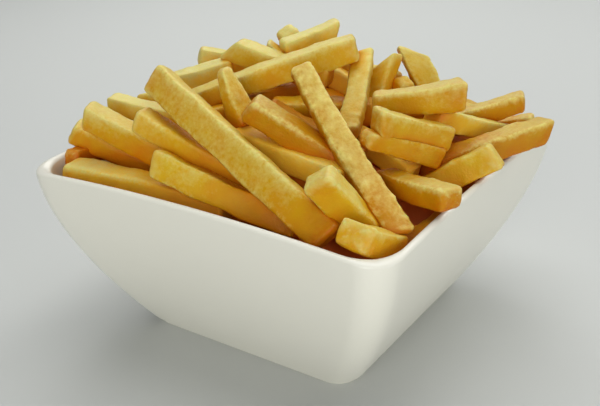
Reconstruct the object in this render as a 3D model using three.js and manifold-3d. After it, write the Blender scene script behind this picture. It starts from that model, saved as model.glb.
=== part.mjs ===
// A portion of straight-cut french fries, heaped in a small square bowl of white glazed ceramic.
//
// Millimetres, +Z up. The origin is the middle of the bowl's flat base, on the surface it stands on.
// +X runs along one side of the bowl and +Y along the next, so its corners lie on the diagonals.
// The bowl is one node. The fries are the other: a core that fills the bowl, with every fry that
// shows fused onto it, each at its true size.

import * as THREE from "three";
import Module from "manifold-3d";

const wasm = await Module();
wasm.setup();

// ---- the bowl's sizes ----
const RIM_HALF = 65;
const BASE_HALF = 39.7;
const HEIGHT = 62;
const FLARE = 1.63;
const CORNER_DROOP = 2.5;
const LIP_WIDTH = 2.5;
const RIM_CORNER = 9.8;
const BASE_CORNER = 7.8;
const MOUTH_CORNER = 12.5;
const FLOOR_CORNER = 8.5;
const FLOOR_HALF = 37.2;
const FLOOR_THICKNESS = 3.5;
const FOOT_EDGE = 0.8;
// above 1, the wall's rings lie closer together near the base, where it bends most
const RING_SPREAD = 1.1;

// ---- the heap's sizes ----
const HEAP_EDGE_HEIGHT = 60;
const HEAP_RISE = 32;
const HEAP_HALF = 72;
const CREST_HEIGHT = 97;
const CORE_GAP = 2.2;
const CORE_FLOOR_GAP = 1.2;
const CORE_SHOULDER = 38;
const CORE_RISE = 26;

// ---- a fry's sizes ----
// CORNER_CUT and END_SHRINK are shares of the fry's own size.
const CORNER_CUT = 0.3;
const END_BEVEL = 1.1;
const END_SHRINK = 0.8;
const SHORTEST = 24;
const LONGEST = 80;
const THINNEST = 7.2;
const THICKEST = 9;

// ---- how the fries that fill the heap are laid ----
// CLOSEST is how near two fries may come, as a share of their mean size: a little less than touching.
// WALL_SPACE is how near a fry's middle line may come to the bowl, as a share of its size.
const SEED = 7;
const TRIES_PER_LAYER = 2000;
const CLOSEST = 0.8;
const WALL_SPACE = 0.75;
const LOOK_STEP = 2.5;
const DROP_STEP = 0.5;
const LONGEST_DROP = 6;
const DEPTH_SPREAD = 1.5;
const MOST_ROLL = 20;
const LEAST_TILT = 0.3;
// the heap's slope is taken between two places this far either way
const SLOPE_REACH = 12;

// ================= the bowl =================

// How far the wall has flared out at the share t of its height: quick near the base, upright at the rim.
function flared(t) {
  return 1 - (1 - THREE.MathUtils.clamp(t, 0, 1)) ** FLARE;
}

function outerHalf(z) {
  return BASE_HALF + (RIM_HALF - BASE_HALF) * flared(z / HEIGHT);
}

function innerHalf(z) {
  const mouthHalf = RIM_HALF - LIP_WIDTH;
  return FLOOR_HALF + (mouthHalf - FLOOR_HALF) * flared((z - FLOOR_THICKNESS) / (HEIGHT - FLOOR_THICKNESS));
}

// A level rounded square, with the corners let down below the middle of the sides.
function squareRing(half, corner, z) {
  const cornerSteps = 7;
  const sideSteps = 7;
  const straight = half - corner;
  const points = [];
  for (let quarter = 0; quarter < 4; quarter += 1) {
    const turn = (quarter * Math.PI) / 2;
    for (let step = 0; step <= cornerSteps; step += 1) {
      const angle = (step / cornerSteps) * (Math.PI / 2);
      points.push([straight + corner * Math.cos(angle), straight + corner * Math.sin(angle), turn]);
    }
    for (let step = 1; step < sideSteps; step += 1) {
      points.push([straight - (2 * straight * step) / sideSteps, half, turn]);
    }
  }
  return points.map(([x, y, turn]) => {
    const point = new THREE.Vector3(x, y, 0).applyAxisAngle(new THREE.Vector3(0, 0, 1), turn);
    const towardsCorner = Math.min(Math.abs(point.x), Math.abs(point.y)) / half;
    point.z = z - CORNER_DROOP * (z / HEIGHT) * towardsCorner ** 2;
    return point;
  });
}

// A closed skin through rings of equal count, shut at both ends by a fan.
function loft(rings) {
  const count = rings[0].length;
  const points = rings.flat();
  const faces = [];
  for (let ring = 0; ring + 1 < rings.length; ring += 1) {
    for (let side = 0; side < count; side += 1) {
      const a = ring * count + side;
      const b = ring * count + ((side + 1) % count);
      faces.push(a, b, b + count, a, b + count, a + count);
    }
  }
  const shut = (first, flip) => {
    const middle = new THREE.Vector3();
    for (let side = 0; side < count; side += 1) {
      middle.addScaledVector(points[first + side], 1 / count);
    }
    const centre = points.push(middle) - 1;
    for (let side = 0; side < count; side += 1) {
      const a = first + side;
      const b = first + ((side + 1) % count);
      faces.push(...(flip ? [b, a, centre] : [a, b, centre]));
    }
  };
  shut(0, true);
  shut((rings.length - 1) * count, false);
  const geometry = new THREE.BufferGeometry().setFromPoints(points);
  geometry.setIndex(faces);
  return geometry;
}

function mix(from, to, share) {
  return from + (to - from) * share;
}

function bowlGeometry() {
  const rings = [];
  const lipRadius = LIP_WIDTH / 2;
  const lipHeight = HEIGHT - lipRadius;
  const wallSteps = 9;
  rings.push(squareRing(BASE_HALF - FOOT_EDGE, BASE_CORNER - FOOT_EDGE, 0));
  for (let step = 0; step <= wallSteps; step += 1) {
    const z = mix(FOOT_EDGE, lipHeight, (step / wallSteps) ** RING_SPREAD);
    rings.push(squareRing(outerHalf(z), mix(BASE_CORNER, RIM_CORNER, z / HEIGHT), z));
  }
  for (const angle of [45, 90, 135]) {
    const turn = THREE.MathUtils.degToRad(angle);
    const half = RIM_HALF - lipRadius + lipRadius * Math.cos(turn);
    const corner = mix(MOUTH_CORNER, RIM_CORNER, 0.5 + 0.5 * Math.cos(turn));
    rings.push(squareRing(half, corner, lipHeight + lipRadius * Math.sin(turn)));
  }
  for (let step = wallSteps; step >= 0; step -= 1) {
    const z = mix(FLOOR_THICKNESS, lipHeight, (step / wallSteps) ** RING_SPREAD);
    const corner = mix(FLOOR_CORNER, MOUTH_CORNER, z / HEIGHT);
    rings.push(squareRing(innerHalf(z), corner, z));
  }
  return loft(rings);
}

// ================= one fry =================

// A fry is laid from one end to the other. wide lies level and thick stands up, before it is rolled.
// bow lifts its middle, and thin gives the size of each end against the middle's. slant is how obliquely
// each end is cut, across and upwards for the first end and then for the last one.
// A plain fry is a square stick without its corners cut.
function laid(from, to, wide, thick, options = {}) {
  const straight = { roll: 0, bow: 0, thin: [1, 1], slant: [0, 0, 0, 0], plain: false };
  const ends = { from: new THREE.Vector3(...from), to: new THREE.Vector3(...to) };
  return { ...ends, wide, thick, ...straight, ...options };
}

// How far the cut of an end slants along the fry, for each step across it and up it. It takes the two
// rings of each end along, and leaves those between them square.
function slantAt(fry, station, stationCount) {
  const [startAcross, startUp, endAcross, endUp] = fry.slant;
  if (station < 2) {
    return [-startAcross, -startUp];
  }
  return station < stationCount - 2 ? [0, 0] : [endAcross, endUp];
}

function fryRings(fry) {
  const along = fry.to.clone().sub(fry.from);
  const length = along.length();
  along.divideScalar(length);
  const side = along.clone().cross(new THREE.Vector3(0, 0, 1)).normalize();
  const up = side.clone().cross(along);
  const roll = THREE.MathUtils.degToRad(fry.roll);
  side.applyAxisAngle(along, roll);
  up.applyAxisAngle(along, roll);
  const near = 1 - CORNER_CUT;
  const cut = (x, y) => (fry.plain ? [[x, y]] : [[x, y * near], [x * near, y]]);
  const outline = [...cut(1, -1), ...cut(-1, -1).reverse(), ...cut(-1, 1), ...cut(1, 1).reverse()];
  const stations = [[0, END_SHRINK], [END_BEVEL / length, 1], [1 - END_BEVEL / length, 1], [1, END_SHRINK]];
  if (fry.bow !== 0) {
    stations.splice(2, 0, [0.35, 1], [0.65, 1]);
  }
  return stations.map(([share, shrink], station) => {
    const size = shrink * mix(fry.thin[0], fry.thin[1], share);
    const middle = fry.from.clone().addScaledVector(along, share * length);
    middle.addScaledVector(up, fry.bow * 4 * share * (1 - share));
    const [slantAcross, slantUp] = slantAt(fry, station, stations.length);
    return outline.map(([across, high]) => {
      const a = (across * size * fry.wide) / 2;
      const h = (high * size * fry.thick) / 2;
      const shift = slantAcross * a + slantUp * h;
      return middle.clone().addScaledVector(side, a).addScaledVector(up, h).addScaledVector(along, shift);
    });
  });
}

// ================= the fries that lie on top =================

const LAID_BY_HAND = [
  // along the left side and its rim
  laid([-56.5, -53, 57], [3.5, -47, 54.5], 9, 8),
  laid([-19, -52, 67], [27.5, -45.5, 55], 9, 9, { roll: -25, thin: [1, 0.9] }),
  laid([-53, -46.5, 75], [-5, -30.5, 52], 9, 8.5),
  laid([-64, -43.2, 66.8], [-27, -29, 48], 9, 8, { thin: [1, 0.8] }),
  laid([-59.5, -29, 73], [-18, -18, 66], 7, 6.5),
  laid([-29.5, -47.5, 78], [17, -35, 56], 8.5, 8, { thin: [0.9, 1] }),
  laid([-43.5, -24, 61], [11, -21, 46], 8, 8),
  laid([-58.5, -51.2, 60], [-58.5, -20, 57], 5.5, 6),
  laid([0.5, -40.5, 51], [23, -39, 48], 8, 7),
  // the long one that crosses the front
  laid([-29, -38.5, 88], [42, -53, 58], 8, 12, { roll: -30, thin: [0.84, 0.84] }),
  // the top of the heap
  laid([-44.5, -18, 78], [-29, -1, 83], 8, 8),
  laid([-48.5, 5, 83], [-23.5, 26.5, 77], 7, 7),
  laid([-29.5, -0.5, 89.5], [8.5, 2, 84], 8, 8, { slant: [0, -0.9, 0, 0] }),
  laid([-29.5, -32.5, 76.5], [14, 9, 93], 8, 8, { thin: [0.8, 1.1] }),
  laid([-11, 4, 90], [-0.5, 20.5, 95], 7, 7, { thin: [0.9, 1], slant: [0, 0, 0, 0.5] }),
  laid([-22.5, 22.5, 91.5], [-16.5, 32.5, 72], 7, 7),
  laid([-29, 19.5, 86], [-21.5, 22, 82], 6, 5),
  laid([-41, -15.5, 74], [-9, -12.5, 66], 8, 8),
  laid([-10.5, 13, 84], [12, 23.5, 72], 7, 7),
  // the middle
  laid([-9.5, -30, 92], [-0.4, -31.6, 75.5], 9, 7, { thin: [0.45, 1.15] }),
  laid([4, -36, 84], [39.5, -25.5, 62], 8.5, 8),
  laid([2, -23, 78.5], [27, -10, 64], 8, 8),
  laid([-2, -35.5, 73.5], [35.5, -34.5, 67], 7.5, 7.5),
  laid([12.5, -21.5, 93], [56.8, -41.6, 58], 9, 8, {
    roll: 20, bow: -2, thin: [0.75, 1], slant: [0, 0, 0, 0.4],
  }),
  laid([13.3, 14, 89], [23, -12.5, 71], 7.5, 6.5, { slant: [-0.7, 0, 0, 0] }),
  // the near corner
  laid([37.8, -52.9, 74.8], [49, -41, 55], 8.5, 8.5, { roll: 15 }),
  laid([27, -15.5, 58], [42.5, -25.5, 49], 7.5, 7.5),
  laid([51.8, -58.5, 64], [56, -44, 56], 8.6, 8, { slant: [-0.4, 0, 0, 0] }),
  // the right side and its rim
  laid([17.2, 23, 85], [15.5, 16, 66], 9, 6.5, { slant: [-1.2, 0, 0, 0] }),
  laid([24.5, 23.5, 80], [15, 28, 64], 6, 6),
  laid([21, 34.5, 87], [37, 28.5, 66], 8.6, 6, { roll: 30, slant: [1, 0, 0, 0] }),
  laid([28.5, -6.5, 81.3], [52.5, 6.5, 84], 9, 9.5, { thin: [0.6, 1.05] }),
  laid([39.5, -24, 82], [50.5, -1.5, 72.2], 7.5, 8, { slant: [0, 0.35, 0, 0] }),
  laid([43.5, 4, 76], [58, 36, 63.5], 7.5, 7, { thin: [1, 0.8] }),
  laid([35.5, 20.5, 66], [60.3, 39.2, 74.3], 6.5, 6.5),
  laid([46.5, -5, 62], [70.5, 29.5, 69], 8, 8, { slant: [0, 0, 0, 0.6] }),
  laid([48, -9, 57], [67.5, -1.5, 70], 7, 8, { roll: -12 }),
  laid([41, -20.5, 63.5], [67.2, -31.7, 67], 8, 7, { thin: [0.95, 0.95] }),
  laid([19.5, -3.5, 68], [45, -10, 62], 7.5, 7),
  laid([41, 43, 60], [61.5, 46.5, 65], 6, 6),
  laid([37.4, -27, 77.1], [50, -5.5, 67.2], 7.5, 7.5, { thin: [0.7, 1] }),
];

// ================= the fries that fill the heap =================

function seeded(seed) {
  let state = seed;
  return (low, high) => {
    state = (Math.imul(state, 1664525) + 1013904223) >>> 0;
    return low + ((high - low) * state) / 4294967296;
  };
}

// The height of the heap's skin.
function heapHeight(x, y) {
  return HEAP_EDGE_HEIGHT + HEAP_RISE * (1 - (x / HEAP_HALF) ** 2) * (1 - (y / HEAP_HALF) ** 2);
}

// Whether a ball of this radius clears the bowl's inside, or lies over the rim.
function clearsBowl(point, radius) {
  const ax = Math.abs(point.x);
  const ay = Math.abs(point.y);
  if (point.z > HEIGHT + radius) {
    return Math.max(ax, ay) < RIM_HALF;
  }
  const wall = innerHalf(point.z) - radius;
  const corner = MOUTH_CORNER - radius;
  const straight = wall - corner;
  const inCorner = ax > straight && ay > straight;
  const reach = inCorner ? Math.hypot(ax - straight, ay - straight) - corner : Math.max(ax, ay) - wall;
  return reach < 0;
}

function distanceToFry(point, fry) {
  const along = fry.to.clone().sub(fry.from);
  const share = THREE.MathUtils.clamp(point.clone().sub(fry.from).dot(along) / along.lengthSq(), 0, 1);
  return point.distanceTo(along.multiplyScalar(share).add(fry.from));
}

function clearsFries(point, size, fries) {
  return fries.every((fry) => {
    const meanSize = (size + (fry.wide + fry.thick) / 2) / 2;
    return distanceToFry(point, fry) >= CLOSEST * meanSize;
  });
}

// The longest stretch of steps around 0 on which a test holds, within a reach either way.
function stretch(test, reach) {
  let low = 0;
  let high = 0;
  while (low - LOOK_STEP >= -reach && test(low - LOOK_STEP)) {
    low -= LOOK_STEP;
  }
  while (high + LOOK_STEP <= reach && test(high + LOOK_STEP)) {
    high += LOOK_STEP;
  }
  return [low, high];
}

// One try at laying a fry: a straight line through a place under the heap's skin, kept where it clears
// the bowl and the fries that lie there, then let down until it rests on something.
function tryFry(draw, layer, patience, fries) {
  const x = draw(-RIM_HALF, RIM_HALF);
  const y = draw(-RIM_HALF, RIM_HALF);
  const heading = draw(0, Math.PI);
  const size = draw(THINNEST, THICKEST);
  const length = draw(2 * SHORTEST, LONGEST);
  const depth = layer.depth + draw(-DEPTH_SPREAD, DEPTH_SPREAD);
  const tilt = draw(LEAST_TILT, 1);
  const roll = draw(-MOST_ROLL, MOST_ROLL);
  if (!layer.covers(x, y)) {
    return null;
  }
  const goX = Math.cos(heading);
  const goY = Math.sin(heading);
  const ahead = heapHeight(x + goX * SLOPE_REACH, y + goY * SLOPE_REACH);
  const behind = heapHeight(x - goX * SLOPE_REACH, y - goY * SLOPE_REACH);
  const slope = (tilt * (ahead - behind)) / (2 * SLOPE_REACH);
  const at = (run, drop) => new THREE.Vector3(
    x + goX * run,
    y + goY * run,
    heapHeight(x, y) - depth + slope * run - drop,
  );
  const clear = (run, drop) => {
    const point = at(run, drop);
    const underCrest = point.z + size / 2 < crestHeight(point.x, point.y);
    return underCrest && clearsBowl(point, WALL_SPACE * size) && clearsFries(point, size, fries);
  };
  if (!clear(0, 0)) {
    return null;
  }
  const [back, front] = stretch((run) => clear(run, 0), length / 2);
  if (front - back < mix(2 * SHORTEST, SHORTEST, patience)) {
    return null;
  }
  const canDrop = (drop) => {
    for (let run = back; run <= front; run += LOOK_STEP) {
      if (!clear(run, drop)) {
        return false;
      }
    }
    return true;
  };
  let drop = 0;
  while (drop < LONGEST_DROP && canDrop(drop + DROP_STEP)) {
    drop += DROP_STEP;
  }
  return laid(at(back, drop).toArray(), at(front, drop).toArray(), size, size, { roll, plain: layer.plain });
}

// The heap is looked at across its near corner: far is how far a place lies behind its middle, and
// right how far to the right of it.
function seenFrom(x, y) {
  return { far: 0.83 * y - 0.55 * x, right: 0.83 * x + 0.55 * y };
}

// The crest that the near side shows. The far side falls away behind it, and it falls to both ends.
function crestHeight(x, y) {
  const { far, right } = seenFrom(x, y);
  const fallBehind = 0.29;
  const fallRight = 0.38;
  const fallLeft = 0.5;
  const leftShoulder = -20;
  return CREST_HEIGHT - fallBehind * far - fallRight * Math.max(right, 0)
    - fallLeft * Math.max(leftShoulder - right, 0);
}

const everywhere = () => true;
const farSide = (x, y) => seenFrom(x, y).far > 6;

// The lowest layers lie deep and show only through the gaps, so their fries are plain square sticks.
const LAYERS = [
  { depth: 24, covers: everywhere, plain: true },
  { depth: 21, covers: everywhere, plain: true },
  { depth: 18, covers: everywhere, plain: true },
  { depth: 15, covers: everywhere, plain: true },
  { depth: 13, covers: farSide, plain: false },
  { depth: 10.5, covers: farSide, plain: false },
  { depth: 8, covers: farSide, plain: false },
  { depth: 5.5, covers: farSide, plain: false },
  { depth: 3, covers: farSide, plain: false },
];

function heapedFries() {
  const fries = [...LAID_BY_HAND];
  const draw = seeded(SEED);
  for (const layer of LAYERS) {
    for (let tries = 0; tries < TRIES_PER_LAYER; tries += 1) {
      const fry = tryFry(draw, layer, tries / TRIES_PER_LAYER, fries);
      if (fry) {
        fries.push(fry);
      }
    }
  }
  return fries;
}

// ================= the core and the joined heap =================

function coreGeometry() {
  const rings = [];
  const wallSteps = 5;
  const domeSteps = 5;
  const low = FLOOR_THICKNESS + CORE_FLOOR_GAP;
  for (let step = 0; step <= wallSteps; step += 1) {
    const z = mix(low, CORE_SHOULDER, step / wallSteps);
    rings.push(squareRing(innerHalf(z) - CORE_GAP, MOUTH_CORNER, z));
  }
  const shoulder = innerHalf(CORE_SHOULDER) - CORE_GAP;
  for (let step = 1; step <= domeSteps; step += 1) {
    const share = step / (domeSteps + 1);
    const half = shoulder * (1 - share);
    const corner = Math.min(half * 0.6, 2 * MOUTH_CORNER);
    rings.push(squareRing(half, corner, CORE_SHOULDER + CORE_RISE * Math.sin((share * Math.PI) / 2)));
  }
  return loft(rings);
}

function asSolid(geometry) {
  return new wasm.Manifold(new wasm.Mesh({
    numProp: 3,
    vertProperties: new Float32Array(geometry.getAttribute("position").array),
    triVerts: new Uint32Array(geometry.getIndex().array),
  }));
}

function asGeometry(solid) {
  const mesh = solid.getMesh();
  const geometry = new THREE.BufferGeometry();
  geometry.setAttribute("position", new THREE.BufferAttribute(new Float32Array(mesh.vertProperties), 3));
  geometry.setIndex(new THREE.BufferAttribute(new Uint32Array(mesh.triVerts), 1));
  geometry.computeVertexNormals();
  return geometry;
}

function friesGeometry() {
  let heap = asSolid(coreGeometry());
  for (const fry of heapedFries()) {
    heap = heap.add(asSolid(loft(fryRings(fry))));
  }
  return asGeometry(heap);
}

// ================= the portion =================

const glazedCeramic = new THREE.MeshStandardMaterial({ color: 0xe6e3da, roughness: 0.18, metalness: 0 });
const friedPotato = new THREE.MeshStandardMaterial({ color: 0xd9a93c, roughness: 0.6, metalness: 0 });

const portion = new THREE.Group();

const bowl = new THREE.Mesh(bowlGeometry(), glazedCeramic);
bowl.name = "bowl";
portion.add(bowl);

const fries = new THREE.Mesh(friesGeometry(), friedPotato);
fries.name = "fries";
portion.add(fries);

export default portion;
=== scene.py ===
"""A portion of straight-cut french fries, heaped in a small square bowl of white glazed ceramic.

Sizes are given in millimetres and turned into metres where they are used. Only the floor and the lamps
are given in metres. The origin is the middle of the bowl's base, +Z is up, +X runs along one side of the
bowl and +Y along the next.
"""

import math
import random

import bmesh
import bpy
import numpy as np
from mathutils import Matrix, Vector


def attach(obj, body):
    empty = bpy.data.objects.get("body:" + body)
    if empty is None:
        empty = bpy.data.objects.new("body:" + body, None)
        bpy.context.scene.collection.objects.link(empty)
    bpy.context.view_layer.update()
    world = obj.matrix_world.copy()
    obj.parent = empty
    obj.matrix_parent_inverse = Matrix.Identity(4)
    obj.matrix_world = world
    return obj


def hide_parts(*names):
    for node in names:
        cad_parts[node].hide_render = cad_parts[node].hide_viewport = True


MM = 0.001


# ================= small helpers =================

def mix(start, end, share):
    return start + (end - start) * share


def linear(red, green, blue):
    """A screen colour, 0 to 255, as the linear colour that shaders take."""
    def straight(level):
        level /= 255
        return level / 12.92 if level <= 0.04045 else ((level + 0.055) / 1.055) ** 2.4
    return (straight(red), straight(green), straight(blue), 1)


class Value:
    """The output of a node. Sums and products of values add the nodes that work them out."""

    def __init__(self, graph, socket):
        self.graph = graph
        self.socket = socket

    def __add__(self, other):
        return self.graph.sum("ADD", self, other)

    def __radd__(self, other):
        return self.graph.sum("ADD", other, self)

    def __sub__(self, other):
        return self.graph.sum("SUBTRACT", self, other)

    def __rsub__(self, other):
        return self.graph.sum("SUBTRACT", other, self)

    def __mul__(self, other):
        return self.graph.sum("MULTIPLY", self, other)

    def __rmul__(self, other):
        return self.graph.sum("MULTIPLY", other, self)

    def __truediv__(self, other):
        return self.graph.sum("DIVIDE", self, other)

    def __rtruediv__(self, other):
        return self.graph.sum("DIVIDE", other, self)

    def __pow__(self, other):
        return self.graph.sum("POWER", self, other)


class Graph:
    """A node tree of either kind, built by expressions."""

    def __init__(self, tree):
        self.tree = tree

    def node(self, kind, settings=None, sockets=None):
        """Adds a node. The settings come first, because they decide which sockets there are."""
        node = self.tree.nodes.new(kind)
        for name, setting in (settings or {}).items():
            setattr(node, name, setting)
        for key, value in (sockets or {}).items():
            socket = node.inputs[key]
            if isinstance(value, Value):
                self.tree.links.new(value.socket, socket)
            else:
                socket.default_value = value
        return node

    def value(self, kind, settings=None, sockets=None, output=0):
        return Value(self, self.node(kind, settings, sockets).outputs[output])

    def sum(self, operation, left, right):
        """Works out two numbers, or two vectors, or the product of a vector and a number."""
        arrows = [isinstance(side, Value) and side.socket.type == "VECTOR" for side in (left, right)]
        if not any(arrows):
            return self.math(operation, left, right)
        if all(arrows) or operation != "MULTIPLY":
            return self.arrow(operation, left, right)
        arrow, size = (left, right) if arrows[0] else (right, left)
        return self.value("ShaderNodeVectorMath", {"operation": "SCALE"}, {"Vector": arrow, "Scale": size})

    def math(self, operation, *values, clamp=False):
        settings = {"operation": operation, "use_clamp": clamp}
        return self.value("ShaderNodeMath", settings, dict(enumerate(values)))

    def arrow(self, operation, *values):
        """Vector maths. A length is a number, which comes from the second output."""
        output = 1 if operation == "LENGTH" else 0
        return self.value("ShaderNodeVectorMath", {"operation": operation}, dict(enumerate(values)), output)

    def clamp(self, value):
        return self.math("ADD", value, 0.0, clamp=True)

    def mix(self, start, end, share):
        return start + (end - start) * share

    def ramp(self, value, low, high):
        """0 at low and 1 at high, with a smooth change between them. high may be the smaller one."""
        sockets = {"Value": value, "From Min": low, "From Max": high}
        return self.value("ShaderNodeMapRange", {"interpolation_type": "SMOOTHSTEP"}, sockets)

    def colour(self, start, end, share):
        """A blend of two colours. The Mix node has its colours as inputs 6 and 7 and as output 2."""
        sockets = {0: share, 6: start, 7: end}
        return self.value("ShaderNodeMix", {"data_type": "RGBA"}, sockets, output=2)

    def noise(self, place, size, detail, roughness=0.5):
        """Noise from 0 to 1 whose lumps are about this many metres across."""
        sockets = {"Vector": place, "Scale": 1 / size, "Detail": detail, "Roughness": roughness}
        return self.value("ShaderNodeTexNoise", None, sockets)

    def pieces(self, vector):
        node = self.node("ShaderNodeSeparateXYZ", None, {0: vector})
        return [Value(self, output) for output in node.outputs]

    def vector(self, x, y, z):
        return self.value("ShaderNodeCombineXYZ", None, {0: x, 1: y, 2: z})

    def attribute(self, name, output="Fac"):
        """What a mesh carries under a name, as a material reads it."""
        return self.value("ShaderNodeAttribute", {"attribute_name": name}, output=output)

    def keep(self, geometry, name, value, kind="FLOAT"):
        """Stores a value under a name on each point of the geometry."""
        settings = {"data_type": kind, "domain": "POINT"}
        sockets = {"Geometry": geometry, "Name": name, "Value": value}
        return self.value("GeometryNodeStoreNamedAttribute", settings, sockets)


def new_tree(name, inputs):
    """The graph of an empty geometry tree, and its inputs: a geometry, and each one given as its name,
    kind and first value."""
    tree = bpy.data.node_groups.new(name, "GeometryNodeTree")
    tree.interface.new_socket("Geometry", in_out="INPUT", socket_type="NodeSocketGeometry")
    for label, kind, first_value in inputs:
        socket = tree.interface.new_socket(label, in_out="INPUT", socket_type=kind)
        if first_value is not None:
            socket.default_value = first_value
    tree.interface.new_socket("Geometry", in_out="OUTPUT", socket_type="NodeSocketGeometry")
    g = Graph(tree)
    group = g.node("NodeGroupInput")
    given = {output.name: Value(g, output) for output in group.outputs if output.name}
    return g, given


def plain_mesh(name, points, faces, material):
    """A smooth piece in one material."""
    mesh = bpy.data.meshes.new(name)
    mesh.from_pydata([tuple(point) for point in points], [], faces)
    mesh.materials.append(material)
    for polygon in mesh.polygons:
        polygon.use_smooth = True
    mesh.update()
    piece = bpy.data.objects.new(name, mesh)
    bpy.context.collection.objects.link(piece)
    return piece


# ================= the bowl's shape =================

RIM_HALF = 65
BASE_HALF = 39.7
HEIGHT = 62
FLARE = 1.63
CORNER_DROOP = 2.5
LIP_WIDTH = 2.5
RIM_CORNER = 9.8
BASE_CORNER = 7.8
MOUTH_CORNER = 12.5
FLOOR_CORNER = 8.5
FLOOR_HALF = 37.2
FLOOR_THICKNESS = 3.5
FOOT_EDGE = 0.8


def flared(share):
    """How far the wall has flared out: quick near the base, upright at the rim."""
    return 1 - (1 - min(max(share, 0), 1)) ** FLARE


def outer_half(z):
    """Half of the bowl's outer width at a height."""
    return BASE_HALF + (RIM_HALF - BASE_HALF) * flared(z / HEIGHT)


def inner_half(z):
    """Half of the bowl's inner width at a height."""
    mouth_half = RIM_HALF - LIP_WIDTH
    share = (z - FLOOR_THICKNESS) / (HEIGHT - FLOOR_THICKNESS)
    return FLOOR_HALF + (mouth_half - FLOOR_HALF) * flared(share)


def square_ring(half, corner, z):
    """A level rounded square, in metres, with its corners let down below the middle of its sides."""
    corner_steps = 12
    side_steps = 16
    straight = half - corner
    quarter = []
    for step in range(corner_steps + 1):
        angle = step / corner_steps * math.pi / 2
        quarter.append((straight + corner * math.cos(angle), straight + corner * math.sin(angle)))
    for step in range(1, side_steps):
        quarter.append((straight - 2 * straight * step / side_steps, half))
    ring = []
    for turn in range(4):
        for x, y in quarter:
            for _ in range(turn):
                x, y = -y, x
            droop = CORNER_DROOP * z / HEIGHT * (min(abs(x), abs(y)) / half) ** 2
            ring.append((x * MM, y * MM, (z - droop) * MM))
    return ring


def loft(rings):
    """The points and faces of a closed skin through rings of equal count, shut by a fan at both ends."""
    count = len(rings[0])
    points = [point for ring in rings for point in ring]
    faces = []
    for ring in range(len(rings) - 1):
        for side in range(count):
            a = ring * count + side
            b = ring * count + (side + 1) % count
            faces.append((a, b, b + count, a + count))
    for first, flip in ((0, True), ((len(rings) - 1) * count, False)):
        centre = len(points)
        points.append(tuple(np.mean(points[first:first + count], axis=0)))
        for side in range(count):
            a = first + side
            b = first + (side + 1) % count
            faces.append((b, a, centre) if flip else (a, b, centre))
    return points, faces


def bowl_skin():
    """The bowl's points and faces, and how many of the points lie outside and on the lip.

    The rings run from the base's underside up the outside, over the lip and down to the floor.
    """
    wall_steps = 36
    lip_radius = LIP_WIDTH / 2
    lip_height = HEIGHT - lip_radius
    base_inset = 4 * FOOT_EDGE
    rings = [square_ring(BASE_HALF - base_inset, BASE_CORNER - base_inset, 0)]
    for angle in range(-90, 1, 15):
        turn = math.radians(angle)
        inset = FOOT_EDGE * (1 - math.cos(turn))
        rings.append(square_ring(BASE_HALF - inset, BASE_CORNER - inset, FOOT_EDGE * (1 + math.sin(turn))))
    for step in range(1, wall_steps + 1):
        z = mix(FOOT_EDGE, lip_height, step / wall_steps)
        rings.append(square_ring(outer_half(z), mix(BASE_CORNER, RIM_CORNER, z / HEIGHT), z))
    for angle in range(15, 180, 15):
        turn = math.radians(angle)
        half = RIM_HALF - lip_radius + lip_radius * math.cos(turn)
        corner = mix(MOUTH_CORNER, RIM_CORNER, 0.5 + 0.5 * math.cos(turn))
        rings.append(square_ring(half, corner, lip_height + lip_radius * math.sin(turn)))
    outside = len(rings) * len(rings[0])
    for step in range(wall_steps, -1, -1):
        z = mix(FLOOR_THICKNESS, lip_height, step / wall_steps)
        rings.append(square_ring(inner_half(z), mix(FLOOR_CORNER, MOUTH_CORNER, z / HEIGHT), z))
    points, faces = loft(rings)
    return points, faces, outside


# ================= the heap's shape =================

HEAP_EDGE_HEIGHT = 60
HEAP_RISE = 32
HEAP_HALF = 72
CREST_HEIGHT = 97
CORE_GAP = 2.2
CORE_FLOOR_GAP = 1.2
CORE_SHOULDER = 38
CORE_RISE = 26
CORE_ROUNDING = 0.6


def core_skin():
    """The core that fills the bowl under the fries: straight walls up to its shoulder, then a dome."""
    wall_steps = 8
    dome_steps = 10
    low = FLOOR_THICKNESS + CORE_FLOOR_GAP
    rings = []
    for step in range(wall_steps + 1):
        z = mix(low, CORE_SHOULDER, step / wall_steps)
        rings.append(square_ring(inner_half(z) - CORE_GAP, MOUTH_CORNER, z))
    shoulder = inner_half(CORE_SHOULDER) - CORE_GAP
    for step in range(1, dome_steps + 1):
        turn = step / (dome_steps + 1) * math.pi / 2
        half = shoulder * (1 - step / (dome_steps + 1))
        corner = min(half * CORE_ROUNDING, 2 * MOUTH_CORNER)
        rings.append(square_ring(half, corner, CORE_SHOULDER + CORE_RISE * math.sin(turn)))
    return loft(rings)


# ================= the fries that lie on top =================

GOLDEN = "golden"
PALE = "pale"
BLISTERED = "blistered"
BROWNED = "browned"


def laid(start, end, wide, thick, kind=GOLDEN, roll=0, bow=0, thin=(1, 1), slant=(0, 0, 0, 0), tone=0):
    """A fry from one end to the other. wide lies level and thick stands up, before it is rolled.

    bow lifts its middle, and thin gives the size of each end against the middle's. slant is how
    obliquely each end is cut, across and upwards for the first end and then for the last one.
    tone makes it browner than its kind, and below 0 paler.
    """
    return {
        "start": np.array(start, float), "end": np.array(end, float), "wide": wide, "thick": thick,
        "kind": kind, "roll": roll, "bow": bow, "thin": thin, "slant": slant, "tone": tone,
    }


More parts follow.
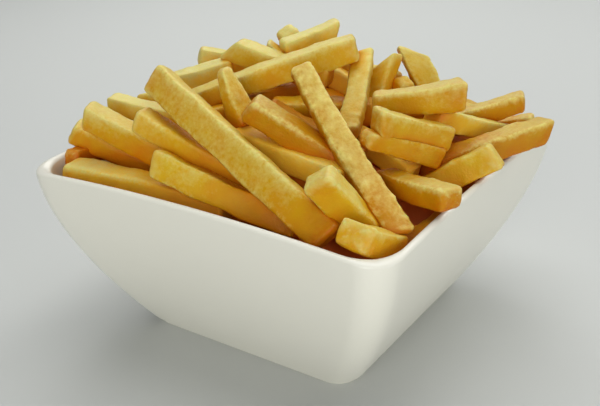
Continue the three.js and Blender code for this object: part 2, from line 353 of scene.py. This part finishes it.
LAID_BY_HAND = [
    # along the left side and its rim
    laid((-56.5, -53, 57), (3.5, -47, 54.5), 9, 8, tone=-0.6),
    laid((-19, -52, 67), (27.5, -45.5, 55), 9, 9, kind=PALE, roll=-25, thin=(1, 0.9), tone=0.1),
    laid((-53, -46.5, 75), (-5, -30.5, 52), 9, 8.5, tone=0.1),
    laid((-64, -43.2, 66.8), (-27, -29, 48), 9, 8, thin=(1, 0.8)),
    laid((-59.5, -29, 73), (-18, -18, 66), 7, 6.5, kind=PALE, tone=-0.3),
    laid((-29.5, -47.5, 78), (17, -35, 56), 8.5, 8, thin=(0.9, 1)),
    laid((-43.5, -24, 61), (11, -21, 46), 8, 8, kind=BROWNED),
    laid((-58.5, -51.2, 60), (-58.5, -20, 57), 5.5, 6, kind=BROWNED),
    laid((0.5, -40.5, 51), (23, -39, 48), 8, 7, kind=BROWNED),
    # the long one that crosses the front
    laid((-29, -38.5, 88), (42, -53, 58), 8, 12, roll=-30, thin=(0.84, 0.84), tone=0.25),
    # the top of the heap
    laid((-44.5, -18, 78), (-29, -1, 83), 8, 8, kind=PALE, tone=-0.6),
    laid((-48.5, 5, 83), (-23.5, 26.5, 77), 7, 7, kind=PALE, tone=-0.7),
    laid((-29.5, -0.5, 89.5), (8.5, 2, 84), 8, 8, slant=(0, -0.9, 0, 0), tone=-0.25),
    laid((-29.5, -32.5, 76.5), (14, 9, 93), 8, 8, kind=PALE, thin=(0.8, 1.1)),
    laid((-11, 4, 90), (-0.5, 20.5, 95), 7, 7, thin=(0.9, 1), slant=(0, 0, 0, 0.5), tone=-0.4),
    laid((-22.5, 22.5, 91.5), (-16.5, 32.5, 72), 7, 7, tone=-0.4),
    laid((-29, 19.5, 86), (-21.5, 22, 82), 6, 5, tone=-0.4),
    laid((-41, -15.5, 74), (-9, -12.5, 66), 8, 8, kind=BROWNED, tone=-0.2),
    laid((-10.5, 13, 84), (12, 23.5, 72), 7, 7, tone=-0.7),
    # the middle
    laid((-9.5, -30, 92), (-0.4, -31.6, 75.5), 9, 7, thin=(0.45, 1.15), tone=0.2),
    laid((4, -36, 84), (39.5, -25.5, 62), 8.5, 8, tone=0.5),
    laid((2, -23, 78.5), (27, -10, 64), 8, 8, tone=0.6),
    laid((-2, -35.5, 73.5), (35.5, -34.5, 67), 7.5, 7.5, kind=PALE, tone=-0.7),
    laid((12.5, -21.5, 93), (56.8, -41.6, 58), 9, 8, kind=BLISTERED, roll=20, bow=-2, thin=(0.75, 1),
         slant=(0, 0, 0, 0.4), tone=0.25),
    laid((13.3, 14, 89), (23, -12.5, 71), 7.5, 6.5, kind=BLISTERED, slant=(-0.7, 0, 0, 0), tone=-0.1),
    # the near corner
    laid((37.8, -52.9, 74.8), (49, -41, 55), 8.5, 8.5, kind=PALE, roll=15, tone=0.25),
    laid((27, -15.5, 58), (42.5, -25.5, 49), 7.5, 7.5, kind=BROWNED),
    laid((51.8, -58.5, 64), (56, -44, 56), 8.6, 8, kind=PALE, slant=(-0.4, 0, 0, 0), tone=-0.05),
    # the right side and its rim
    laid((17.2, 23, 85), (15.5, 16, 66), 9, 6.5, slant=(-1.2, 0, 0, 0), tone=-0.1),
    laid((24.5, 23.5, 80), (15, 28, 64), 6, 6),
    laid((21, 34.5, 87), (37, 28.5, 66), 8.6, 6, roll=30, slant=(1, 0, 0, 0)),
    laid((28.5, -6.5, 81.3), (52.5, 6.5, 84), 9, 9.5, thin=(0.6, 1.05), tone=0.2),
    laid((39.5, -24, 82), (50.5, -1.5, 72.2), 7.5, 8, kind=PALE, slant=(0, 0.35, 0, 0), tone=0.25),
    laid((43.5, 4, 76), (58, 36, 63.5), 7.5, 7, kind=PALE, thin=(1, 0.8), tone=-0.2),
    laid((35.5, 20.5, 66), (60.3, 39.2, 74.3), 6.5, 6.5, tone=0.35),
    laid((46.5, -5, 62), (70.5, 29.5, 69), 8, 8, slant=(0, 0, 0, 0.6), tone=0.35),
    laid((48, -9, 57), (67.5, -1.5, 70), 7, 8, kind=PALE, roll=-12, tone=0.05),
    laid((41, -20.5, 63.5), (67.2, -31.7, 67), 8, 7, thin=(0.95, 0.95), tone=0.35),
    laid((19.5, -3.5, 68), (45, -10, 62), 7.5, 7, kind=PALE, tone=-0.7),
    laid((41, 43, 60), (61.5, 46.5, 65), 6, 6, kind=BROWNED),
    laid((37.4, -27, 77.1), (50, -5.5, 67.2), 7.5, 7.5, thin=(0.7, 1), tone=0.2),
]


# ================= the fries that fill the heap =================

# The same rule and the same draws as the CAD solids have, so that every fry lies where its solid lies.
# CLOSEST is how near two fries may come, as a share of their mean size: a little less than touching.
# WALL_SPACE is how near a fry's middle line may come to the bowl, as a share of its size.
SEED = 7
TRIES_PER_LAYER = 2000
CLOSEST = 0.8
WALL_SPACE = 0.75
LOOK_STEP = 2.5
DROP_STEP = 0.5
LONGEST_DROP = 6
DEPTH_SPREAD = 1.5
MOST_ROLL = 20
LEAST_TILT = 0.3
SLOPE_REACH = 12
SHORTEST = 24
LONGEST = 80
THINNEST = 7.2
THICKEST = 9
VIEW_SINE = 0.55
VIEW_COSINE = 0.83
FAR_SIDE = 6


def seeded(seed):
    """Draws numbers evenly between two limits, the same ones in the same order each time."""
    state = seed

    def draw(low, high):
        nonlocal state
        state = (state * 1664525 + 1013904223) % 2 ** 32
        return low + (high - low) * state / 2 ** 32
    return draw


def heap_height(x, y):
    """The heap's skin, a low dome."""
    return HEAP_EDGE_HEIGHT + HEAP_RISE * (1 - (x / HEAP_HALF) ** 2) * (1 - (y / HEAP_HALF) ** 2)


def seen_from(x, y):
    """How far behind the heap's middle a place lies and how far to its right, as seen across the near
    corner."""
    return VIEW_COSINE * y - VIEW_SINE * x, VIEW_COSINE * x + VIEW_SINE * y


def crest_height(x, y):
    """The crest that the near side shows. It falls away behind and to both ends."""
    far, right = seen_from(x, y)
    fall_behind = 0.29
    fall_right = 0.38
    fall_left = 0.5
    left_shoulder = -20
    ends = fall_right * max(right, 0) + fall_left * max(left_shoulder - right, 0)
    return CREST_HEIGHT - fall_behind * far - ends


def clears_bowl(point, radius):
    """Whether a ball of this radius clears the bowl's inside, or lies over the rim."""
    ax = abs(point[0])
    ay = abs(point[1])
    if point[2] > HEIGHT + radius:
        return max(ax, ay) < RIM_HALF
    wall = inner_half(point[2]) - radius
    corner = MOUTH_CORNER - radius
    straight = wall - corner
    if ax > straight and ay > straight:
        return math.hypot(ax - straight, ay - straight) < corner
    return max(ax, ay) < wall


class Heap:
    """The fries laid so far, kept as arrays so that each test looks at all of them at once."""

    def __init__(self, fries):
        self.fries = []
        self.starts = np.zeros((0, 3))
        self.runs = np.zeros((0, 3))
        self.sizes = np.zeros(0)
        for fry in fries:
            self.add(fry)

    def add(self, fry):
        self.fries.append(fry)
        self.starts = np.vstack([self.starts, fry["start"]])
        self.runs = np.vstack([self.runs, fry["end"] - fry["start"]])
        self.sizes = np.append(self.sizes, (fry["wide"] + fry["thick"]) / 2)

    def clears(self, point, size):
        """Whether a fry of this size, whose middle line runs through a point, clears every fry there."""
        offsets = point - self.starts
        shares = np.einsum("ij,ij->i", offsets, self.runs) / np.einsum("ij,ij->i", self.runs, self.runs)
        nearest = self.starts + self.runs * np.clip(shares, 0, 1)[:, None]
        gaps = np.linalg.norm(point - nearest, axis=1)
        return bool(np.all(gaps >= CLOSEST * (size + self.sizes) / 2))


def stretch(test, reach):
    """The longest stretch of steps around 0 on which a test holds, within a reach either way."""
    low = 0
    high = 0
    while low - LOOK_STEP >= -reach and test(low - LOOK_STEP):
        low -= LOOK_STEP
    while high + LOOK_STEP <= reach and test(high + LOOK_STEP):
        high += LOOK_STEP
    return low, high


def try_fry(draw, depth, covers, patience, heap):
    """One try at laying a fry: a straight line under the heap's skin, kept where it clears the bowl and
    the fries that lie there, then let down until it rests on something."""
    x = draw(-RIM_HALF, RIM_HALF)
    y = draw(-RIM_HALF, RIM_HALF)
    heading = draw(0, math.pi)
    size = draw(THINNEST, THICKEST)
    length = draw(2 * SHORTEST, LONGEST)
    deep = depth + draw(-DEPTH_SPREAD, DEPTH_SPREAD)
    tilt = draw(LEAST_TILT, 1)
    roll = draw(-MOST_ROLL, MOST_ROLL)
    if not covers(x, y):
        return None
    go_x = math.cos(heading)
    go_y = math.sin(heading)
    ahead = heap_height(x + go_x * SLOPE_REACH, y + go_y * SLOPE_REACH)
    behind = heap_height(x - go_x * SLOPE_REACH, y - go_y * SLOPE_REACH)
    slope = tilt * (ahead - behind) / (2 * SLOPE_REACH)

    def at(run, drop):
        return np.array((x + go_x * run, y + go_y * run, heap_height(x, y) - deep + slope * run - drop))

    def clear(run, drop):
        point = at(run, drop)
        under_crest = point[2] + size / 2 < crest_height(point[0], point[1])
        return under_crest and clears_bowl(point, WALL_SPACE * size) and heap.clears(point, size)

    if not clear(0, 0):
        return None
    back, front = stretch(lambda run: clear(run, 0), length / 2)
    if front - back < mix(2 * SHORTEST, SHORTEST, patience):
        return None
    steps = int(round((front - back) / LOOK_STEP)) + 1
    drop = 0
    while drop < LONGEST_DROP and all(clear(back + LOOK_STEP * k, drop + DROP_STEP) for k in range(steps)):
        drop += DROP_STEP
    return laid(at(back, drop), at(front, drop), size, size, roll=roll)


def everywhere(x, y):
    return True


def far_side(x, y):
    return seen_from(x, y)[0] > FAR_SIDE


# how deep under the heap's skin each layer lies, and where
LAYERS = [
    (24, everywhere), (21, everywhere), (18, everywhere), (15, everywhere),
    (13, far_side), (10.5, far_side), (8, far_side), (5.5, far_side), (3, far_side),
]
DEEP = 14
HEAPED_TONE = 0.3


def heaped_fries():
    """All the fries: the ones listed, then those that the rule adds, with a kind and tone each."""
    heap = Heap(LAID_BY_HAND)
    draw = seeded(SEED)
    looks = random.Random(SEED)
    for depth, covers in LAYERS:
        for tries in range(TRIES_PER_LAYER):
            fry = try_fry(draw, depth, covers, tries / TRIES_PER_LAYER, heap)
            if fry:
                kinds = [BROWNED, GOLDEN] if depth > DEEP else [GOLDEN, GOLDEN, PALE, BLISTERED]
                fry["kind"] = looks.choice(kinds)
                fry["tone"] = looks.uniform(-HEAPED_TONE, HEAPED_TONE)
                heap.add(fry)
    return heap.fries


# ================= one fry's form, as a node tree =================

# What each fry's point carries. Besides its width and thickness, "size" has nothing. "bend" holds its
# sway, bow and roll, and "thin" the shares of its two ends and its twist.
FIELDS = {
    "start": "FLOAT_VECTOR", "reach": "FLOAT_VECTOR", "size": "FLOAT_VECTOR", "bend": "FLOAT_VECTOR",
    "thin": "FLOAT_VECTOR", "slant_start": "FLOAT_VECTOR", "slant_end": "FLOAT_VECTOR",
    "seed": "FLOAT", "tone": "FLOAT",
}
MOST_SWAY = 1.1
MOST_BOW = 0.7
MOST_TWIST = 9
MOST_SLANT = 0.22
TONE_SPREAD = 0.12


def fry_points(name, fries, looks):
    """A mesh of one point for each fry, which carries the fry's sizes in metres."""
    values = {field: [] for field in FIELDS}

    def about(most):
        return looks.uniform(-most, most)

    for fry in fries:
        values["start"].append(fry["start"] * MM)
        values["reach"].append((fry["end"] - fry["start"]) * MM)
        values["size"].append((fry["wide"] * MM, fry["thick"] * MM, 0))
        sway = about(MOST_SWAY)
        bow = fry["bow"] or about(MOST_BOW)
        values["bend"].append((sway * MM, bow * MM, math.radians(fry["roll"])))
        values["thin"].append((*fry["thin"], math.radians(about(MOST_TWIST))))
        slants = [own or about(MOST_SLANT) for own in fry["slant"]]
        values["slant_start"].append((*slants[:2], 0))
        values["slant_end"].append((*slants[2:], 0))
        values["seed"].append(looks.uniform(0, 1))
        values["tone"].append(fry["tone"] + about(TONE_SPREAD))
    mesh = bpy.data.meshes.new(name)
    mesh.from_pydata([tuple(start) for start in values["start"]], [], [])
    for field, kind in FIELDS.items():
        attribute = mesh.attributes.new(field, kind, "POINT")
        key = "vector" if kind == "FLOAT_VECTOR" else "value"
        attribute.data.foreach_set(key, np.array(values[field], np.float32).ravel())
    piece = bpy.data.objects.new(name, mesh)
    bpy.context.collection.objects.link(piece)
    return piece


FRY_INPUTS = [
    ("Length steps", "NodeSocketInt", 54),
    ("Width steps", "NodeSocketInt", 10),
    ("Squareness", "NodeSocketFloat", 4.6),
    ("Face sink", "NodeSocketFloat", 0.04),
    ("End radius", "NodeSocketFloat", 1.4 * MM),
    ("Uneven width", "NodeSocketFloat", 0.15),
    ("Blister height", "NodeSocketFloat", 0.2 * MM),
    ("Blister size", "NodeSocketFloat", 2.6 * MM),
    ("Blister stretch", "NodeSocketFloat", 1.0),
    ("Lump height", "NodeSocketFloat", 0.9 * MM),
    ("Grain height", "NodeSocketFloat", 0.35 * MM),
    ("Material", "NodeSocketMaterial", None),
]


def fry_tree():
    """Lays a rounded, slightly uneven square stick along each point's reach."""
    g, given = new_tree("fry on each point", FRY_INPUTS)

    def field(name):
        kind = FIELDS.get(name, "FLOAT_VECTOR")
        node = g.node("GeometryNodeInputNamedAttribute", {"data_type": kind}, {"Name": name})
        return Value(g, next(output for output in node.outputs if output.enabled))

    # a grid block from 0 to 1 along its length and from -1 to 1 across, one for each point
    count_along = given["Length steps"] + 1
    count_across = given["Width steps"] + 1
    block = g.value("GeometryNodeMeshCube", None, {
        "Size": (1, 2, 2), "Vertices X": count_along,
        "Vertices Y": count_across, "Vertices Z": count_across,
    })
    from_end = g.value("GeometryNodeInputPosition") + (0.5, 0, 0)
    block = g.keep(block, "place", from_end, "FLOAT_VECTOR")
    blocks = g.value("GeometryNodeInstanceOnPoints", None, {
        "Points": given["Geometry"], "Instance": block,
    })
    blocks = g.value("GeometryNodeRealizeInstances", None, {"Geometry": blocks})

    # how far along and across, with the points closer together near the ends and the edges
    crowding = 0.11
    even, even_across, even_high = g.pieces(field("place"))
    share = even - crowding * g.math("SINE", even * 2 * math.pi)
    across = g.math("SINE", even_across * math.pi / 2)
    high = g.math("SINE", even_high * math.pi / 2)
    reach = field("reach")
    length = g.arrow("LENGTH", reach)
    seed = field("seed")
    run = share * length
    to_end = length - run
    to_tip = g.math("MINIMUM", run, to_end)

    # the rounded square section, with faces sunk a little between its edges
    far_across = g.math("ABSOLUTE", across)
    far_high = g.math("ABSOLUTE", high)
    not_nought = 0.001
    largest = g.math("MAXIMUM", g.math("MAXIMUM", far_across, far_high), not_nought)
    on_side = g.math("MINIMUM", far_across, far_high) / largest
    power = given["Squareness"]
    section = (1 + on_side ** power) ** (-1 / power) * (1 - given["Face sink"] * (1 - on_side * on_side))

    # uneven width and thickness, the taper and the rounding at the ends
    size_wide, size_thick, _ = g.pieces(field("size"))
    thin_start, thin_end, twist = g.pieces(field("thin"))
    taper = g.mix(thin_start, thin_end, share)
    swell_length = 14 * MM

    def unevenness(offset):
        place = g.vector(run, seed * 9 + offset, 0)
        return 1 + given["Uneven width"] * (g.noise(place, swell_length, detail=1.0) - 0.5) * 2

    round_share = g.clamp(1 - to_tip / given["End radius"])
    inset = given["End radius"] * (1 - g.math("SQRT", g.math("MAXIMUM", 1 - round_share * round_share, 0)))
    half_wide = size_wide / 2 * taper * unevenness(0) - inset
    half_thick = size_thick / 2 * taper * unevenness(5) - inset
    a = across * section * half_wide
    h = high * section * half_thick

    # the oblique cuts, which fade out along the fry
    slant_start_a, slant_start_h, _ = g.pieces(field("slant_start"))
    slant_end_a, slant_end_h, _ = g.pieces(field("slant_end"))
    fade = 14 * MM
    near_start = g.clamp(1 - run / fade) ** 2
    near_end = g.clamp(1 - to_end / fade) ** 2
    cut_start = (slant_start_a * a + slant_start_h * h) * near_start
    cut_end = (slant_end_a * a + slant_end_h * h) * near_end
    cut = cut_end - cut_start

    # the fry's own directions, rolled and twisted
    along = g.arrow("NORMALIZE", reach)
    level = g.arrow("NORMALIZE", g.arrow("CROSS_PRODUCT", along, (0, 0, 1)))
    upward = g.arrow("CROSS_PRODUCT", level, along)
    sway, bow, roll = g.pieces(field("bend"))
    turn = roll + twist * (share - 0.5)
    cosine = g.math("COSINE", turn)
    sine = g.math("SINE", turn)
    side = level * cosine - upward * sine
    up = upward * cosine + level * sine
    arch = 4 * share * (1 - share)
    place = field("start") + along * (run + cut) + side * (a + sway * arch) + up * (h + bow * arch)
    shaped = g.value("GeometryNodeSetPosition", None, {"Geometry": blocks, "Position": place})
    shaped = g.value("GeometryNodeFlipFaces", None, {"Mesh": shaped})

    # blisters, lumps and grain, pushed out of the faces
    normal = g.value("GeometryNodeInputNormal")
    on_fry = g.vector(run + seed, a, h)
    lump_size = 6 * MM
    grain_size = 2.2 * MM
    squeezed = g.vector(run + seed, a / given["Blister stretch"], h / given["Blister stretch"])
    blister = g.ramp(g.noise(squeezed, given["Blister size"], detail=1.5), 0.45, 0.75)
    lump = g.noise(on_fry, lump_size, detail=1.0) - 0.5
    grain = g.noise(on_fry, grain_size, detail=1.0) - 0.5
    height = blister * given["Blister height"] + lump * given["Lump height"] + grain * given["Grain height"]
    shaped = g.keep(shaped, "on_fry", on_fry, "FLOAT_VECTOR")
    shaped = g.value("GeometryNodeSetPosition", None, {"Geometry": shaped, "Offset": normal * height})

    # the material reads these and on_fry, and the rest isn't needed any more
    shaped = g.keep(shaped, "tip", to_tip / MM)
    shaped = g.keep(shaped, "edge", on_side)
    shaped = g.keep(shaped, "blister", blister)
    for name in ("start", "reach", "size", "bend", "thin", "slant_start", "slant_end", "place"):
        shaped = g.value("GeometryNodeRemoveAttribute", None, {"Geometry": shaped, "Name": name})
    shaped = g.value("GeometryNodeSetShadeSmooth", None, {"Geometry": shaped})
    shaped = g.value("GeometryNodeRealizeInstances", None, {"Geometry": shaped})
    shaped = g.value("GeometryNodeSetMaterial", None, {"Geometry": shaped, "Material": given["Material"]})
    g.node("NodeGroupOutput", None, {"Geometry": shaped})
    return g.tree


def grow(piece, tree, choices):
    """Runs the tree on a piece, which keeps the result as its plain mesh."""
    modifier = piece.modifiers.new("growth", "NODES")
    modifier.node_group = tree
    for socket in tree.interface.items_tree:
        if socket.in_out == "INPUT" and socket.name in choices:
            modifier[socket.identifier] = choices[socket.name]
    bpy.context.view_layer.update()
    evaluated = piece.evaluated_get(bpy.context.evaluated_depsgraph_get())
    mesh = bpy.data.meshes.new_from_object(evaluated)
    piece.modifiers.remove(modifier)
    bare = piece.data
    piece.data = mesh
    bpy.data.meshes.remove(bare)
    return piece


# ================= how much sky each spot sees =================

# Each look starts a little off the face. A ring has its height in degrees and its count of looks.
SKY_START = 0.4
SKY_REACH = 22
SKY_RINGS = [(70, 4), (40, 8), (12, 6)]


def sky_directions():
    """Directions spread over the sky."""
    directions = []
    for height, count in SKY_RINGS:
        lift = math.radians(height)
        for step in range(count):
            turn = (step + 0.5) / count * 2 * math.pi
            level = math.cos(lift)
            directions.append((level * math.cos(turn), level * math.sin(turn), math.sin(lift)))
    return directions


def sky_tree():
    """Stores on each point of a mesh the share of the sky that the obstacles leave open, from 0 to 1."""
    g, given = new_tree("sky seen", [("Obstacles", "NodeSocketObject", None)])
    obstacles = g.value("GeometryNodeObjectInfo", None, {"Object": given["Obstacles"]}, output="Geometry")
    outwards = g.value("GeometryNodeInputNormal") * (SKY_START * MM)
    off_the_face = g.value("GeometryNodeInputPosition") + outwards
    directions = sky_directions()
    blocked = 0
    for direction in directions:
        blocked = blocked + g.value("GeometryNodeRaycast", None, {
            "Target Geometry": obstacles, "Source Position": off_the_face, "Ray Direction": direction,
            "Ray Length": SKY_REACH * MM,
        })
    seen = 1 - blocked / len(directions)
    smooth = g.value("GeometryNodeBlurAttribute", {"data_type": "FLOAT"}, {"Value": seen, "Iterations": 3})
    g.node("NodeGroupOutput", None, {"Geometry": g.keep(given["Geometry"], "sky", smooth)})
    return g.tree


def joined(name, pieces):
    """A copy of several pieces as one mesh."""
    mesh = bpy.data.meshes.new(name)
    whole = bmesh.new()
    for piece in pieces:
        whole.from_mesh(piece.data)
    whole.to_mesh(mesh)
    whole.free()
    copy = bpy.data.objects.new(name, mesh)
    bpy.context.collection.objects.link(copy)
    return copy


# ================= materials =================

# DEEP_SHADE is a painted shade: the colour of fries that see almost no sky, which the core takes too
DEEP_SHADE = linear(208, 98, 14)
BROWNER = linear(140, 70, 2)
PALER = linear(244, 188, 60)
# the top colours are pale potato and painted light together
PALE_AND_LIT_TOP = linear(212, 198, 112)
DRY_AND_LIT_TOP = linear(217, 199, 112)
WHITE_GLAZE = linear(227, 225, 211)
# the glaze's inside colour is painted shade and a painted reflection of the fries
GLAZE_SHADE_AND_REFLECTION = linear(226, 204, 160)
PALE_FLOOR = linear(190, 192, 188)


def new_material(name):
    material = bpy.data.materials.new(name)
    material.use_nodes = True
    material.node_tree.nodes.clear()
    return material, Graph(material.node_tree)


def finish_material(g, sockets):
    shader = g.value("ShaderNodeBsdfPrincipled", None, sockets)
    g.node("ShaderNodeOutputMaterial", None, {"Surface": shader})


def fried_potato(name, under, skin, top, blistered=0.0):
    """Fried potato: its skin turns to the under colour at its ends, where it is crisper, and as a painted
    shade wherever it sees little sky and low in the bowl, with a deep painted shade where it sees almost
    none. It turns to the top colour as a painted light where it sees open sky, along its edges, partly wear
    and partly a painted highlight, and, as far as blistered says, on blisters."""
    material, g = new_material(name)
    place = g.attribute("on_fry", output="Vector")
    sky = g.attribute("sky")
    tip = g.attribute("tip")
    edge = g.attribute("edge")
    tone = g.attribute("tone")
    raised = g.attribute("blister")

    # the noises, and the masks of painted shade and painted light, from the sky a spot sees and from its
    # height.
    # tip is its distance from the nearer end in millimetres.
    broad = g.noise(place, 8 * MM, detail=3.0)
    patchy = g.noise(place, 2.6 * MM, detail=3.0)
    fine = g.noise(place, 1.2 * MM, detail=3.0, roughness=0.6)
    height = g.pieces(g.value("ShaderNodeNewGeometry"))[2]
    # painted shade: browner and less pale lower in the bowl
    low = g.ramp(height, 74 * MM, 52 * MM)
    painted_shade = g.ramp(sky, 0.75, 0.1)
    deep_painted_shade = g.ramp(sky, 0.22, 0.0)
    painted_light = g.ramp(sky, 0.5, 1.0)

    # browner: at the tips, in blotches and by tone, and in painted shade where little sky is seen and low
    # in the bowl
    at_tips = 0.3 * g.ramp(tip, 6.0, 0.0) * (0.4 + 1.2 * g.ramp(fine, 0.3, 0.7))
    blotches = (broad - 0.5) - 0.3 * (patchy - 0.5)
    crispness_and_shade = at_tips + blotches + 0.6 * tone + 0.9 * painted_shade + 0.3 * low
    colour = g.colour(skin, under, g.clamp(crispness_and_shade))
    # a deep painted shade where almost no sky is seen
    colour = g.colour(colour, DEEP_SHADE, 0.7 * deep_painted_shade)
    colour = g.colour(colour, BROWNER, g.clamp(0.7 * tone))

    # paler: by tone, in mottles that fade where little sky is seen, on blisters and along the edges, and in
    # painted light where open sky is seen
    colour = g.colour(colour, PALER, g.clamp(-0.8 * tone))
    # paler edges: partly wear, partly a painted highlight
    worn_and_highlit = 0.4 * g.ramp(edge, 0.5, 1.0) * g.ramp(fine, 0.25, 0.65)
    uneven = 0.9 * (fine - 0.5) + 0.5 * (patchy - 0.5) + worn_and_highlit + blistered * raised - 0.6 * tone
    paleness_and_light = 0.8 * painted_light + uneven * g.ramp(sky, 0.3, 0.7) - 0.3 * low
    colour = g.colour(colour, top, g.clamp(paleness_and_light))

    grain = g.noise(place, 0.7 * MM, detail=3.0, roughness=0.6)
    bump = g.value("ShaderNodeBump", None, {"Strength": 0.5, "Distance": 0.35 * MM, "Height": grain})
    finish_material(g, {
        "Base Color": colour,
        "Roughness": 0.42 + 0.25 * (fine - 0.5),
        "Normal": bump,
        "Subsurface Weight": 0.3,
        "Subsurface Radius": (1.0, 0.4, 0.08),
        "Subsurface Scale": 1.6 * MM,
        "Specular IOR Level": 0.16,
    })
    return material


def glaze():
    """A white glaze, with a painted shade and a painted reflection of the fries on the inside."""
    material, g = new_material("white glaze")
    inside = g.attribute("inside")
    place = g.value("ShaderNodeTexCoord", output="Object")
    waves = g.noise(place, 30 * MM, detail=1.0)
    bump = g.value("ShaderNodeBump", None, {"Strength": 0.15, "Distance": 0.4 * MM, "Height": waves})
    finish_material(g, {
        # the inside is painted half-way to the colour of its shade and of the fries' reflection
        "Base Color": g.colour(WHITE_GLAZE, GLAZE_SHADE_AND_REFLECTION, 0.5 * inside),
        "Roughness": 0.32,
        "Normal": bump,
    })
    return material


def plain(name, colour, roughness):
    material, g = new_material(name)
    finish_material(g, {"Base Color": colour, "Roughness": roughness})
    return material


# ================= the portion =================

def glazed_bowl():
    """The bowl, which carries 1 on the points of its inside and 0 on the others.

    The last two points are the middles of the base's underside and of the floor.
    """
    points, faces, outside_count = bowl_skin()
    base_middle = len(points) - 2
    piece = plain_mesh("bowl_glazed", points, faces, glaze())
    inside = [float(index >= outside_count and index != base_middle) for index in range(len(points))]
    piece.data.attributes.new("inside", "FLOAT", "POINT").data.foreach_set("value", inside)
    return piece


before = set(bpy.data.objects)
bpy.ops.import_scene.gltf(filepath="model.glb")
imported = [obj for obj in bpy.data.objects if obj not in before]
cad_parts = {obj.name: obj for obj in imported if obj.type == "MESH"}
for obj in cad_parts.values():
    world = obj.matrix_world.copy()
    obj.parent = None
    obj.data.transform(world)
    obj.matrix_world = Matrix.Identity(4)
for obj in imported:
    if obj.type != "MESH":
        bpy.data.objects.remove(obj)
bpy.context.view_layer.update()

bowl = glazed_bowl()
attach(bowl, "root")
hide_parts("bowl")

# the core is coloured in the deep painted shade of the fries
core = plain_mesh("heap_core", *core_skin(), plain("heap core", DEEP_SHADE, 0.8))
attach(core, "root")
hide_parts("fries")

# each kind's under colour is its crisp browning and its painted shade, and its top colour its paleness and
# its painted light
golden = fried_potato(
    "golden potato", under=linear(200, 116, 4), skin=linear(204, 161, 14), top=PALE_AND_LIT_TOP)
pale = fried_potato(
    "pale potato", under=linear(205, 130, 6), skin=linear(209, 171, 28), top=PALE_AND_LIT_TOP, blistered=0.2)
blistered = fried_potato(
    "blistered potato", under=linear(196, 120, 6), skin=linear(202, 156, 14), top=DRY_AND_LIT_TOP, blistered=0.6)
browned = fried_potato(
    "browned potato", under=linear(190, 102, 10), skin=linear(206, 136, 12), top=PALE_AND_LIT_TOP)

# the tree's inputs that each kind sets for itself
KINDS = {
    GOLDEN: {"Material": golden},
    PALE: {"Material": pale, "Squareness": 6.0, "Blister height": 0.15 * MM},
    BLISTERED: {
        "Material": blistered, "Squareness": 3.4,
        "Blister height": 0.35 * MM, "Blister size": 2.2 * MM, "Blister stretch": 1.7,
    },
    BROWNED: {"Material": browned, "Blister height": 0.35 * MM},
}

all_fries = heaped_fries()
looks = random.Random(SEED + 1)
form = fry_tree()
fries_by_kind = []
for kind, choices in KINDS.items():
    own = [fry for fry in all_fries if fry["kind"] == kind]
    fries_by_kind.append(grow(fry_points(f"fries_{kind}", own, looks), form, choices))

obstacles = joined("obstacles", fries_by_kind + [bowl])
sky = sky_tree()
for fries in fries_by_kind:
    grow(fries, sky, {"Obstacles": obstacles})
    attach(fries, "root")
    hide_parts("fries")
bpy.data.meshes.remove(obstacles.data)


# ================= the stage =================

FLOOR_HALF_WIDTH = 4.0
CAMERA_PLACE = (149.5, -227.76, 159.58)
CAMERA_HEADING = 33.77
CAMERA_FALL = 23.95
CAMERA_ROLL = -0.99
CAMERA_SENSOR = 36
CAMERA_LENS = 51.69


def place_floor():
    half = FLOOR_HALF_WIDTH
    corners = [(-half, -half, 0), (half, -half, 0), (half, half, 0), (-half, half, 0)]
    plain_mesh("floor", corners, [(0, 1, 2, 3)], plain("pale floor", PALE_FLOOR, 0.7))


def area_light(name, place, target, size, power):
    light = bpy.data.lights.new(name, "AREA")
    light.shape = "DISK"
    light.size = size
    light.energy = power
    lamp = bpy.data.objects.new(name, light)
    bpy.context.collection.objects.link(lamp)
    lamp.location = place
    lamp.rotation_euler = (Vector(target) - Vector(place)).to_track_quat("-Z", "Y").to_euler()


def studio_world(colour, strength):
    world = bpy.data.worlds.new("studio")
    world.use_nodes = True
    background = world.node_tree.nodes["Background"]
    background.inputs["Color"].default_value = colour
    background.inputs["Strength"].default_value = strength
    bpy.context.scene.world = world
    bpy.context.scene.view_settings.view_transform = "Standard"


def place_camera():
    """Heading turns the camera from +Y towards -X, fall looks down, and roll leans the picture. All are
    in degrees."""
    data = bpy.data.cameras.new("camera")
    data.sensor_fit = "HORIZONTAL"
    data.sensor_width = CAMERA_SENSOR
    data.lens = CAMERA_LENS
    data.clip_start = 10 * MM
    camera = bpy.data.objects.new("camera", data)
    bpy.context.collection.objects.link(camera)
    heading = Matrix.Rotation(math.radians(CAMERA_HEADING), 4, "Z")
    fall = Matrix.Rotation(math.radians(90 - CAMERA_FALL), 4, "X")
    roll = Matrix.Rotation(math.radians(CAMERA_ROLL), 4, "Z")
    camera.matrix_world = Matrix.Translation(Vector(CAMERA_PLACE) * MM) @ heading @ fall @ roll
    bpy.context.scene.camera = camera


place_floor()
area_light("overhead", (-0.1, 0.15, 0.9), target=(0, 0, 0.04), size=0.8, power=4.6)
area_light("front", (0.5, -1.02, 0.4), target=(0, 0, 0.05), size=0.9, power=8.6)
area_light("right", (1.1, -0.1, 0.16), target=(0, 0, 0.03), size=0.28, power=2.2)
area_light("back", (0.3, 1.3, 0.9), target=(0, 0, 0.08), size=0.9, power=8.0)
area_light("back left", (-0.45, 0.55, 0.55), target=(-0.15, 0.25, 0.03), size=0.5, power=1.8)
studio_world(colour=(0.9, 0.95, 1.0, 1), strength=0.17)
place_camera()
